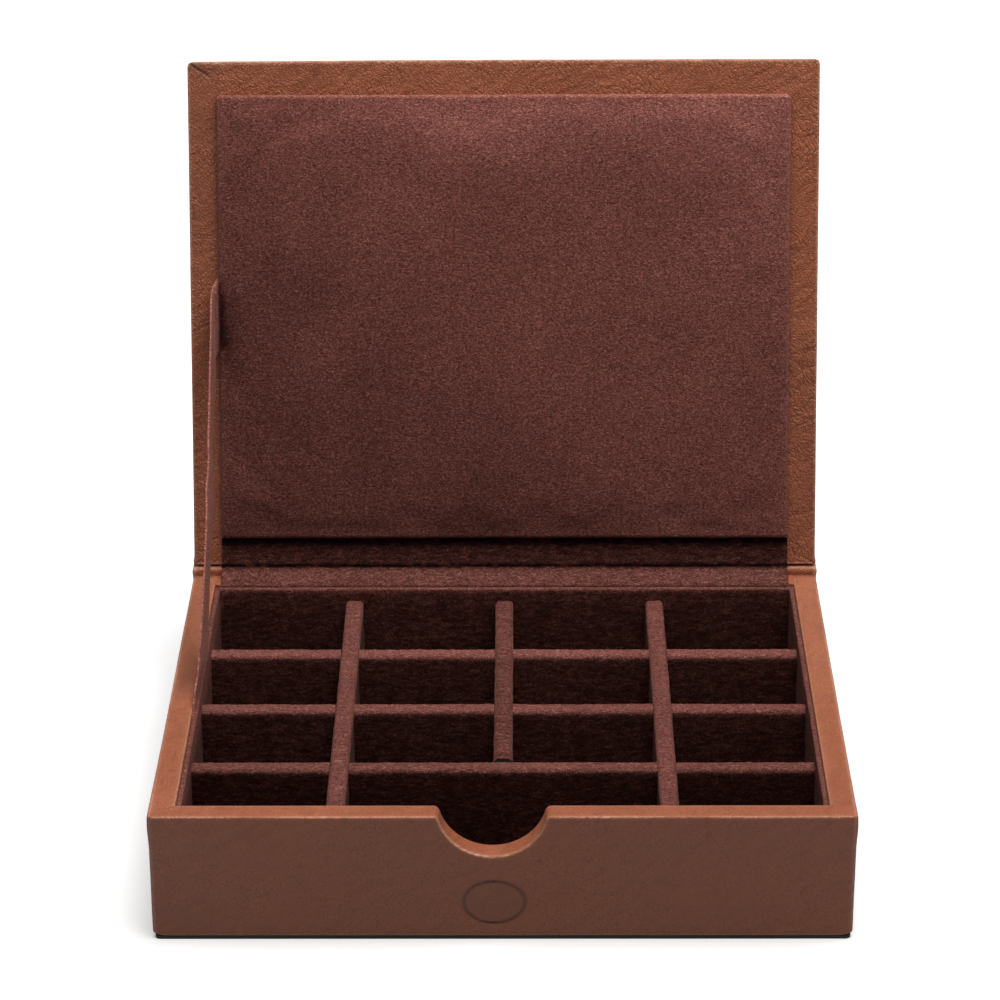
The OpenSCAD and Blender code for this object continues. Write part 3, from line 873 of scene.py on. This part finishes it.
# ---------------- pad

def pad_edge(x, y):
    """Distance in from the pad's nearest edge."""
    return min(PAD_X - abs(x), y - PAD_FRONT, PAD_BACK - y)


def pad_mesh():
    r = 1.7
    face, back = LID_Z - PAD_T, LID_Z
    profile = [(u, back) for u in (88.7, 60, 30, 10, 2.5, 0.25)]
    profile += [(0.0, back - drop) for drop in (0.5, 1.1, 1.7)]
    profile += arc(r, face + r, r, 180, 270, 6)
    profile += [(u, face) for u in np.arange(4.0, 88.8, PAD_STEP)]
    return panel(PAD_X, PAD_FRONT, PAD_BACK, 2.2, profile, PAD_STEP)


def simulate_pad(piece):
    """Lets the pad's face swell under its wrap: cloth held at the sides and the back, 20 frames."""
    held = piece.vertex_groups.new(name="held")
    rest = [Vector(v.co) for v in piece.data.vertices]
    for v in piece.data.vertices:
        x, y, z = v.co / MM
        grip = 1.0 if z > LID_Z - PAD_T + 0.3 else max(0.0, 1 - (pad_edge(x, y) - 1.5) / 5)
        held.add([v.index], grip, "REPLACE")
    cloth = piece.modifiers.new("cloth", "CLOTH")
    s = cloth.settings
    s.quality = 6
    s.mass = 0.25
    s.tension_stiffness = 12
    s.compression_stiffness = 12
    s.shear_stiffness = 6
    s.bending_stiffness = 0.6
    s.vertex_group_mass = "held"
    s.pin_stiffness = 1.0
    s.shrink_min = -0.004
    s.use_pressure = True
    s.uniform_pressure_force = 1.2
    s.effector_weights.gravity = 0
    cloth.collision_settings.use_collision = False
    scene = bpy.context.scene
    scene.frame_start, scene.frame_end = 1, 20
    for f in range(1, 21):
        scene.frame_set(f)
    apply_modifiers(piece)
    scene.frame_set(1)
    piece.vertex_groups.clear()
    limit = 1.1 * MM
    for v, start in zip(piece.data.vertices, rest):
        move = v.co - start
        if move.length > limit:
            v.co = start + move * (limit / move.length)


def settle_pad(piece):
    """The nap's small lumps, a soft crown and a slack edge, on the shut pad."""
    for v in piece.data.vertices:
        p = v.co / MM
        edge = pad_edge(p.x, p.y)
        soft = 0.10 * flow(p, 2.6, 4.0) + 0.16 * flow(p, 21, 9.0)
        if p.z < LID_Z - 1.9:
            p.z += 0.16 + soft * min(1.0, 0.3 + edge / 6) - 0.35 * min(1.0, max(0.0, edge) / 30)
        lumps = 0.16 * flow(p, 17, 3.0) + 0.12 * flow(p, 6, 6.0) + 0.09 * flow(p, 1.8, 2.0)
        side = bell(edge, 0.8) * (0.22 + lumps)
        if PAD_X - abs(p.x) < 1:
            p.x -= math.copysign(side, p.x)
        if p.y - PAD_FRONT < 1:
            p.y += side
        if PAD_BACK - p.y < 1:
            p.y -= side
        v.co = p * MM


def pad_painted_light(p):
    """Painted light on the nap: lighter towards the lid's front edge, the top when open, and at one corner,
    where the lamp falls, with a painted highlight along the pad's edges.
    """
    x, y, z = shut_again(p)
    swirl = 0.85 + 0.30 * flow((x, y, 0), 38, 12.0)
    top = 0.42 * smooth((-50 - y) / 34) * smooth((x + 125) / 160 + 0.2)
    corner = 0.22 * smooth((x - 40) / 60) * smooth((30 - y) / 80)
    rub_and_light = 0.28 * bell(pad_edge(x, y) - 0.6, 0.9) * (1 if z < LID_Z - 1.5 else 0)
    return (top + corner) * swirl + rub_and_light


def pad_shade(p):
    """Painted shade on the nap: darker low on the left, next to the hinge and on its sides by the lid, and a
    painted shadow in a wedge beside the strap's glued end.
    """
    x, y, z = shut_again(p)
    swirl = 0.85 + 0.35 * flow((x, y, 0), 24, 3.0)
    low_left = smooth((0.95 * (y + 40) - 75 - x) / 70 + 0.5) * smooth((y + 75) / 60)
    low = smooth((y - 20) / 80) * smooth((95 - x) / 30)
    under = 0.8 * bell(LID_Z - z, 1.2)
    along = (y + 16.5) / 28
    inset = x + PAD_X
    tuck = 0.0
    if -0.05 < along < 1.12:
        ends = smooth((along + 0.02) / 0.12) * smooth((1.07 - along) / 0.12)
        tuck = 0.86 * smooth((2.4 + 3.4 * along - inset) / 4.2) * ends
    tuck += 0.30 * bell(inset, 10.0) * smooth((along + 0.1) / 0.5) * smooth((1.7 - along) / 0.7)
    return min(0.94, (0.30 * low_left + 0.12 * low) * swirl + under + tuck)


pad_points, pad_faces = rings(pad_mesh())
pad = build("pad", pad_points, pad_faces, SUEDE_LIT_PAD)
simulate_pad(pad)
settle_pad(pad)
pad.data.transform(Matrix.Translation((0, PIVOT_Y * MM, PIVOT_Z * MM))
                   @ Matrix.Rotation(-OPEN, 4, "X")
                   @ Matrix.Translation((0, -PIVOT_Y * MM, -PIVOT_Z * MM)))
finish_mesh(pad, SUEDE_LIT_PAD, pad_painted_light, pad_shade, 60)
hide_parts("pad_suede", "pad_foam")
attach(pad, "lid")


# ---------------- tray: liners, floor, dividers

def nap(p, seed=0.0):
    """Height of the suede's lumps, in millimetres."""
    return 0.14 * flow(p, 2.1, seed) + 0.12 * flow(p, 1.1, seed + 5) + 0.10 * flow(p, 13, seed + 9)


def plain_top(_):
    return LINER_TOP


def liner_outline(top, width):
    """Pairs of (depth, z): the seen side, which gets the nap, then the glued side."""
    r, r_back = 0.85, 0.45
    seen = [(0.0, z) for z in np.linspace(TRAY_Z, top - r, 26)]
    seen += arc(r, top - r, r, 180, 90, 5)[1:]
    seen += [(width - r_back, top), *arc(width - r_back, top - r_back, r_back, 90, 0, 2)[1:]]
    under = top - SUEDE_T
    glued = [(u, under) for u in (width, width - 0.1, SUEDE_T + 0.3)]
    glued += [(SUEDE_T, under - 0.3), (SUEDE_T, TRAY_Z)]
    return seen, glued


def liner(side, along_x, face, sign, ends, width, tops=plain_top):
    """A suede sheet up a liner card and over its top. face is the seen side, and sign points to the wall.
    tops gives the top's z at each station, so that the notch can lower it."""
    sections = []
    for s in stations(*ends, 0.9):
        top = tops(s)
        seen, glued = liner_outline(top, width)
        section = []
        for i, (u, z) in enumerate(seen + glued):
            p = [s, face + sign * u, z] if along_x else [face + sign * u, s, z]
            if i < len(seen) and u < width - 0.2:
                lift = nap(p, 2.0) - 0.04
                if z < top - 0.2:
                    p[1 if along_x else 0] -= sign * lift
                else:
                    p[2] += lift * 0.8
            section.append(tuple(p))
        sections.append(section)
    points, faces = loft(sections)
    piece = build(f"liner_{side}", points, faces, SUEDE_TRAY, liner_top_wear_and_light, cell_painted_shade, 60)
    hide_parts(f"{side}_liner_suede")
    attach(piece, "base")


def front_top(x):
    """Top of the front liner, cut lower than the leather along the notch."""
    grow = 1.6
    r = NOTCH_R + grow
    dx = abs(x - NOTCH_X)
    rounding = NOTCH_FILLET - grow
    if dx >= NOTCH_HALF:
        return LINER_TOP
    touch = NOTCH_HALF - rounding * NOTCH_HALF / NOTCH_REACH
    if dx <= touch:
        return min(LINER_TOP, RIM_Z + NOTCH_RISE - math.sqrt(max(0.0, r * r - dx * dx)))
    return min(LINER_TOP, RIM_Z - NOTCH_FILLET + math.sqrt(max(0.0, rounding ** 2 - (NOTCH_HALF - dx) ** 2)))


def liner_top_wear_and_light(p):
    """The liners' tops are lighter, scuffed nap with painted light where they face the lamp; the left one's
    face, which the light reaches, is painted lighter down to the dividers.
    """
    face = 0.60 * smooth((p[2] - DIVIDER_TOP + 8) / 8) if p[0] < -TRAY_X + 1 else 0.0
    return max(face, 0.62 * bell(LINER_TOP - 0.3 - p[2], 0.9 if p[0] > 0 else 1.6))


def cell_painted_shade(p):
    """Painted shade in the cells: darker below the dividers' tops and further down, and more towards the
    front rows.
    """
    row = 0.30 * smooth((30 - p[1]) / 110)
    return (0.16 + row) * smooth((DIVIDER_TOP + 1 - p[2]) / 4) + 0.12 * smooth((DIVIDER_TOP - p[2]) / 34)


SIDE_WIDTH = SKIN_X - TRAY_X
liner("front", True, TRAY_FRONT, -1, (-SKIN_X, SKIN_X), TRAY_FRONT - SKIN_FRONT, front_top)
liner("back", True, TRAY_BACK, 1, (-SKIN_X, SKIN_X), SIDE_WIDTH)
liner("right", False, TRAY_X, 1, (TRAY_FRONT, TRAY_BACK), SIDE_WIDTH)
liner("left", False, -TRAY_X, -1, (TRAY_FRONT, TRAY_BACK), SIDE_WIDTH)


def floor_mesh():
    low, high = box_mm("floor_suede")
    xs, ys = stations(low[0], high[0], 1.6), stations(low[1], high[1], 1.6)
    sections = []
    for y in ys:
        top = [(x, y, high[2] + nap((x, y, 0), 4.0) - 0.08) for x in xs]
        sections.append(top + [(high[0], y, low[2]), (low[0], y, low[2])])
    return loft(sections)


floor_points, floor_faces = floor_mesh()
# The tray's floor is darkened evenly with painted shade, as for the bottoms of the cells.
floor_cloth = build("tray_floor", floor_points, floor_faces, SUEDE_TRAY, None, lambda _: 0.3)
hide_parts("floor_suede")
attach(floor_cloth, "base")


LONG = ("left", "centre", "right")
CROSS = ("front", "middle", "rear")
LONG_X = [sum(b[0] for b in box_mm(f"long_divider_{k}_suede")) / 2 for k in LONG]
CROSS_Y = [sum(b[1] for b in box_mm(f"cross_divider_{k}_suede")) / 2 for k in CROSS]
LONG_RISE = 0.9
HALVING = (TRAY_Z + DIVIDER_TOP) / 2
SLOT = 3.6


def divider_outline(half, r, top):
    """Pairs of (offset, z): the two sides and the softly rounded top, then the glued inside."""
    heights = np.linspace(TRAY_Z, top - r, 26)
    seen = [(-half, z) for z in heights]
    seen += arc(r - half, top - r, r, 180, 90, 6)[1:]
    seen += [(-0.5, top), (0.5, top)]
    seen += arc(half - r, top - r, r, 90, 0, 6)
    seen += [(half, z) for z in heights[::-1][1:]]
    core, under = half - SUEDE_T, top - SUEDE_T
    glued = [(core, TRAY_Z), (core, under - 0.4), (core - 0.4, under)]
    return seen, glued + [(-u, z) for u, z in glued[::-1]]


def divider(kind, which, along_x, slots):
    """A suede wrap over a divider's board, with its halving slots: boxes of two opposite corners."""
    node = f"{kind}_divider_{which}_suede"
    low, high = box_mm(node)
    axis = 0 if along_x else 1
    centre = (low[1 - axis] + high[1 - axis]) / 2
    half = (high[1 - axis] - low[1 - axis]) / 2
    r, top = 1.75, high[2] + (0.0 if along_x else LONG_RISE)
    seen, glued = divider_outline(half, r, top)
    seed = (low[0] + low[1]) * 0.013
    sections = []
    for s in stations(low[axis], high[axis], 0.8):
        section = []
        drift = 0.22 * flow((s, centre, 0), 40, seed)
        for i, (u, z) in enumerate(seen + glued):
            p = [s, centre + u, z] if along_x else [centre + u, s, z]
            if i < len(seen):
                lift = nap(p, seed) + 0.16 * flow(p, 0.95, seed + 3) - 0.03
                side = math.copysign(1, u) * min(1.0, max(0.0, (abs(u) - half + r) / r))
                p[1 - axis] += side * lift + drift * max(0.0, (z - TRAY_Z) / (top - TRAY_Z)) ** 2 * 0.5
                if z > top - r and abs(u) < half:
                    p[2] += lift + 0.08 * flow((s, centre, 9), 28, seed)
            section.append(tuple(p))
        sections.append(section)
    points, faces = loft(sections)
    piece = build(f"divider_{kind}_{which}", points, faces, SUEDE_TRAY)
    for corners in slots(low, centre):
        cut(piece, *corners)
    finish_mesh(piece, SUEDE_TRAY, divider_wear_and_light, cell_painted_shade, 60)
    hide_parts(node)
    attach(piece, "base")


def divider_wear_and_light(p):
    """How much lighter a divider's top is, scuffed nap with painted light: the cross ones more than the long
    ones, and more to the rear, where more light falls.
    """
    back = p[1] - CROSS_Y[0]
    left, centre, right = (abs(p[0] - x) < 3.2 for x in LONG_X)
    if centre and back > 2:
        wear_and_light = 0.18 + 0.001 * back
    elif left or right:
        wear_and_light = 0.45 + 0.001 * back
    else:
        wear_and_light = 0.52 + 0.003 * back
    return wear_and_light * bell(min(0.0, DIVIDER_TOP - p[2]), 5.0) * smooth((p[2] - DIVIDER_TOP + 2.6) / 1.9)


def slots_below(low, x):
    """A long divider's slots, from below, over the cross dividers that it reaches."""
    ys = [y for y in CROSS_Y if low[1] < y - 4]
    return [((x - 8, y - SLOT, 0), (x + 8, y + SLOT, HALVING)) for y in ys]


def slots_above(low, y):
    """A cross divider's slots, from above. The centre divider stops at the front one and needs none there."""
    half = SLOT - 0.05
    xs = [x for x, which in zip(LONG_X, LONG) if y > CROSS_Y[0] + 1 or which != "centre"]
    return [((x - half, y - 8, HALVING), (x + half, y + 8, RIM_Z)) for x in xs]


for which in LONG:
    divider("long", which, False, slots_below)
for which in CROSS:
    divider("cross", which, True, slots_above)


# ---------------- hinge leather, hinge lining, stay strap

def smooth_path(path, per_span):
    """Points on a Catmull-Rom curve through a path of (y, z)."""
    path = [np.array(p) for p in path]
    ends = [2 * path[0] - path[1], *path, 2 * path[-1] - path[-2]]
    made = []
    for i, count in enumerate(per_span):
        a, b, c, d = ends[i:i + 4]
        for t in np.linspace(0, 1, count, endpoint=False):
            bend = (2 * a - 5 * b + 4 * c - d) * t ** 2 + (3 * b - a - 3 * c + d) * t ** 3
            made.append(0.5 * (2 * b + (c - a) * t + bend))
    return made + [path[-1]]


def strip_section(path, thickness):
    """The closed outline of a strip along a path, with square ends, as (y, z) pairs."""
    left, right = [], []
    for i, p in enumerate(path):
        d = path[min(i + 1, len(path) - 1)] - path[max(i - 1, 0)]
        d = d / np.linalg.norm(d)
        n = np.array([-d[1], d[0]]) * thickness / 2
        left.append(p + n)
        right.append(p - n)
    return left + right[::-1]


def across(path, thickness, xs, move):
    """Sweeps a strip's outline over x, each point passed through move."""
    outline = strip_section(path, thickness)
    return loft([[move(x, y, z) for y, z in outline] for x in xs])


def path_length(path):
    return sum(float(np.linalg.norm(b - a)) for a, b in zip(path, path[1:]))


MID_Y = HALF_D - LEATHER_T / 2
ROLL_R = 1.5
ROLL_Z = RIM_Z + 1.2
LID_SKIN = LID_Z + LID_T - LEATHER_T / 2
SPINE_END = swing(HALF_D + 0.3, LID_SKIN)
roll = arc(MID_Y + ROLL_R, ROLL_Z, ROLL_R, 180, 60, 10)
valley = [
    roll[-1],
    (roll[-1][0] + 1.1, ROLL_Z + 0.6),
    (SPINE_END[0] - 2.2, ROLL_Z + 0.1),
    (SPINE_END[0] - 1, ROLL_Z + 0.1),
    swing(HALF_D + 1.0, LID_SKIN),
    SPINE_END,
]
spine_path = [np.array(p) for p in [(MID_Y, z) for z in np.linspace(SKIN_Z, ROLL_Z - 1.5, 26)] + roll]
spine_path += smooth_path(valley, [5, 5, 4, 4, 3])[1:]


def spine_move(x, y, z):
    """Flares the roll's ends and puts slow waves in the back leather."""
    flare = 0.75 * bell(HALF_W - abs(x), 2.2) * bell(z - ROLL_Z - 0.4, 1.8)
    wave = (0.10 * flow((x, y, z), 30, 8.0) - 0.12) * (1 if y > HALF_D - 0.1 and z < RIM_Z - 2 else 0)
    return x + math.copysign(flare, x), y + wave, z


def spine_wear_and_highlight(p):
    """The hinge leather is scuffed lighter at its two ends, with a painted highlight along the top of the
    roll.
    """
    ends = 0.8 * bell(HALF_W - abs(p[0]), 0.7) * (1 if p[2] > RIM_Z - 1 else 0.4)
    return max(ends, 0.5 * bell(p[2] - ROLL_Z - 1.9, 0.6))


close = np.arange(0, 6, 0.5)
spine_xs = np.unique([*stations(-HALF_W, HALF_W, 3.0), *(close - HALF_W), *(HALF_W - close)])
spine_points, spine_faces = across(spine_path, LEATHER_T, spine_xs, spine_move)
spine = build("hinge_leather", spine_points, spine_faces, LEATHER_SMOOTH, spine_wear_and_highlight)
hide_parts("hinge_spine")
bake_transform(spine)

PAD_EDGE = swing(PAD_BACK, LID_Z)
CREASE_Y, CREASE_Z = 98.9, RIM_Z + 4.3
LINING_Z = LID_Z - SUEDE_T / 2
edge_r = SUEDE_T / 2 + 0.025
core_back = LINING_FACE + SUEDE_T + 0.05
back_top = RIM_Z - 1.7
lining_nodes = [
    swing(PAD_BACK + 0.1, LINING_Z),
    swing(94.5, LINING_Z),
    swing(HALF_D - 1.4, LINING_Z - 0.05),
    (HALF_D - 0.9, RIM_Z + 4.1),
    (HALF_D - 2.0, RIM_Z + 3.3),
    (HALF_D - 4.0, RIM_Z + 1.7),
    (HALF_D - 6.2, RIM_Z + 0.2),
    (core_back, back_top + edge_r),
]
lining_path = smooth_path(lining_nodes, [5, 7, 7, 7, 6, 5, 5])
lining_path.append(np.array([core_back - edge_r * 0.8, back_top + edge_r * 0.8]))
lining_path += [np.array([core_back - edge_r, back_top - drop]) for drop in (0, 4, 20)]


def lining_move(x, y, z):
    lift = 0.5 * nap((x, y, z), 6.0)
    return x, y - 0.4 * lift, z + (lift if z > RIM_Z - 2 else 0)


# Painted light on the lining's part on the rim: evenly lighter below the crease.
def lining_painted_light(p):
    return 0.40 * smooth((98.7 - p[1]) / 0.8) * smooth((p[2] - LINER_TOP + 1.0) / 0.8)


# Painted shade on the hinge lining: in its crease, a painted shadow below the pad's edge, a dark line at the
# seam behind the back liner, and the lid's part darker under the pad.
def lining_shade(p):
    x, y, z = p
    crease = 0.99 * bell(math.hypot(y - CREASE_Y, z - CREASE_Z), 1.35)
    under_pad = 0.99 * bell(math.hypot(y - PAD_EDGE[0], z - PAD_EDGE[1]), 3.9)
    seam = 0.8 * bell(z - LINER_TOP - 0.1, 0.35) if y < 92.2 else 0.0
    return max(crease, under_pad, seam, 0.22 if z > RIM_Z + 4.2 else 0.0)


lining_points, lining_faces = across(lining_path, SUEDE_T, stations(-LINING_X, LINING_X, 1.3), lining_move)
lining = build("hinge_lining_suede", lining_points, lining_faces, SUEDE_TRAY, lining_painted_light, lining_shade, 60)
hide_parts("hinge_lining")
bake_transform(lining)
path_length(lining_path) * MM

STRAP_BACK, STRAP_FRONT = 11.0, -18.0
STRAP_TUCK, STRAP_T = 12.0, 1.2
STRAP_LOW = -0.075
STRAP_TOP = swing(STRAP_FRONT, LID_Z)


def strap_bow(s):
    """How far the strap stands off to the right at s, which runs from 0 at the rim to 1 at the lid."""
    bow = 1.6 * smooth(s / 0.09) - 1.0 * smooth((s - 0.50) / 0.16) - 0.5 * smooth((s - 0.66) / 0.16)
    return bow + 2.5 * smooth((s - 0.955) / 0.045) - 0.4 * bell(s - 0.94, 0.04)


def strap_twist(s):
    return 0.3 + 1.3 * bell(s - 0.49, 0.04) + 0.7 * bell(s - 0.90, 0.07) + 1.2 * bell(s - 0.08, 0.09)


def strap_mesh():
    """A flat suede strap: glued under the pad, a lazy S beside it, its low end tucked behind the liner."""
    top = [np.array(swing(y, LID_Z)) for y in (STRAP_BACK, STRAP_FRONT)]
    rim = [np.array([y, RIM_Z]) for y in (STRAP_BACK, STRAP_FRONT)]
    rise = top[0] - rim[0]
    tuck = [p - np.array([STRAP_TUCK * rise[0] / rise[1], STRAP_TUCK]) for p in rim]
    round_trip = [(w, 0) for w in np.linspace(0, 1, 9)] + [(w, 1) for w in np.linspace(1, 0, 9)]
    sections = []
    for s in np.linspace(STRAP_LOW, 1, 96):
        end, share = (top, s) if s >= 0 else (tuck, s / STRAP_LOW)
        near, far = (rim[k] + (end[k] - rim[k]) * share for k in (0, 1))
        section = []
        for w, side in round_trip:
            y, z = near + (far - near) * w
            edge = 0.3 * (bell(w, 0.03) + bell(w - 1, 0.03))
            x = STRAP_X + edge + side * (STRAP_T - 2 * edge) + strap_bow(s) + strap_twist(s) * (0.5 - w)
            ripple = nap((x, y, z), 1.0) * 0.8
            section.append((x + ripple, y + 0.6 * ripple * (1 - 2 * w), z))
        sections.append(section)
    return loft(sections)


def strap_painted_light(p):
    """Painted light on the strap: a painted highlight on its front edge, less light on its faces, and both
    lighter higher up, where more light falls.
    """
    rise = (p[2] - RIM_Z) / (STRAP_TOP[1] - RIM_Z)
    front = STRAP_FRONT + rise * (STRAP_TOP[0] - STRAP_FRONT)
    on_edge = smooth((front + 2.2 - p[1]) / 1.2)
    return (0.36 + 0.60 * on_edge) * smooth((p[2] - 42) / 14) * (0.85 + 0.3 * flow(p, 5, 2.0))


strap_points, strap_faces = strap_mesh()
strap = build("stay_strap_suede", strap_points, strap_faces, SUEDE_LIT_PAD, strap_painted_light, None, 60)
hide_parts("stay_strap")
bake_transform(strap)


# ---------------- finishes on the CAD nodes that stay

boards = ["bottom_board", "front_wall", "back_wall", "left_wall", "right_wall", "lid_board", "pad_board"]
boards += [f"long_divider_{which}_core" for which in LONG]
boards += [f"cross_divider_{which}_core" for which in CROSS]
cards = ["floor_card", *(f"{side}_liner_card" for side in ("front", "back", "left", "right"))]
for material, names in ((FOOT, ["foot_panel"]), (FOAM, ["pad_foam"]), (BOARD, boards), (CARD, cards)):
    for name in names:
        mesh = frame["nodes"][name].data
        mesh.materials.clear()
        mesh.materials.append(material)


# ---------------- floor, light, camera

def floor_plane():
    mesh = bpy.data.meshes.new("floor")
    mesh.from_pydata([(-2, -2, 0), (2, -2, 0), (2, 2, 0), (-2, 2, 0)], [], [(0, 1, 2, 3)])
    floor = bpy.data.objects.new("floor", mesh)
    bpy.context.scene.collection.objects.link(floor)
    m = new_material("floor_white", Roughness=0.9, Specular_IOR_Level=0.1, Emission_Color=(1, 1, 1, 1))
    place = object_place(m)
    away = add_node(m, "ShaderNodeVectorMath", {0: place}, operation="LENGTH").outputs["Value"]
    to_shader(
        m,
        Base_Color=ramp(m, noise_of(m, place, 3.0), [(0.3, grey(0.93)), (0.7, grey(0.95))]),
        # The floor glows as well as taking the lamp's light: less near the object, so that its shadow still
        # shows, and more further off, so that it reads white.
        Emission_Strength=ramp(m, away, [(0.14, grey(0.30)), (0.28, grey(0.62))]),
    )
    mesh.materials.append(m)
    floor.visible_diffuse = False


def area_light(name, place, target, size, power, colour=(1, 1, 1)):
    data = bpy.data.lights.new(name, "AREA")
    data.shape = "RECTANGLE"
    data.size, data.size_y = size
    data.energy = power
    data.color = colour
    light = bpy.data.objects.new(name, data)
    bpy.context.scene.collection.objects.link(light)
    light.location = place
    light.rotation_euler = (Vector(target) - Vector(place)).to_track_quat("-Z", "Y").to_euler()


def soft_world(strength, shown):
    world = bpy.data.worlds.new("studio")
    bpy.context.scene.world = world
    world.use_nodes = True
    tree = world.node_tree
    tree.nodes.clear()
    out = tree.nodes.new("ShaderNodeOutputWorld")
    mix = tree.nodes.new("ShaderNodeMixShader")
    path = tree.nodes.new("ShaderNodeLightPath")
    for i, level in enumerate((strength, shown)):
        back = tree.nodes.new("ShaderNodeBackground")
        back.inputs["Color"].default_value = (1, 1, 1, 1)
        back.inputs["Strength"].default_value = level
        tree.links.new(back.outputs[0], mix.inputs[i + 1])
    tree.links.new(path.outputs["Is Camera Ray"], mix.inputs[0])
    tree.links.new(mix.outputs[0], out.inputs[0])


def photo_camera():
    data = bpy.data.cameras.new("camera")
    data.sensor_width = 36
    data.lens = 128.89
    data.clip_start, data.clip_end = 0.05, 50
    camera = bpy.data.objects.new("camera", data)
    bpy.context.scene.collection.objects.link(camera)
    yaw, pitch, roll_by = (math.radians(a) for a in (0.389, 24.134, -0.229))
    ahead = Vector((-math.sin(yaw), math.cos(yaw), 0))
    right = Vector((math.cos(yaw), math.sin(yaw), 0))
    forward = math.cos(pitch) * ahead - math.sin(pitch) * Vector((0, 0, 1))
    up = math.sin(pitch) * ahead + math.cos(pitch) * Vector((0, 0, 1))
    x_axis = math.cos(roll_by) * right + math.sin(roll_by) * up
    y_axis = -math.sin(roll_by) * right + math.cos(roll_by) * up
    turn = Matrix((x_axis, y_axis, -forward)).transposed().to_4x4()
    camera.matrix_world = Matrix.Translation((0.00717, -1.20501, 0.66745)) @ turn
    bpy.context.scene.camera = camera


floor_plane()
area_light("key_overhead", (0.14, -0.06, 1.40), (0, 0, 0.05), (1.0, 0.9), 20)
soft_world(0.165, 1.0)
photo_camera()
scene = bpy.context.scene
scene.view_settings.view_transform = "Standard"
scene.view_settings.look = "None"
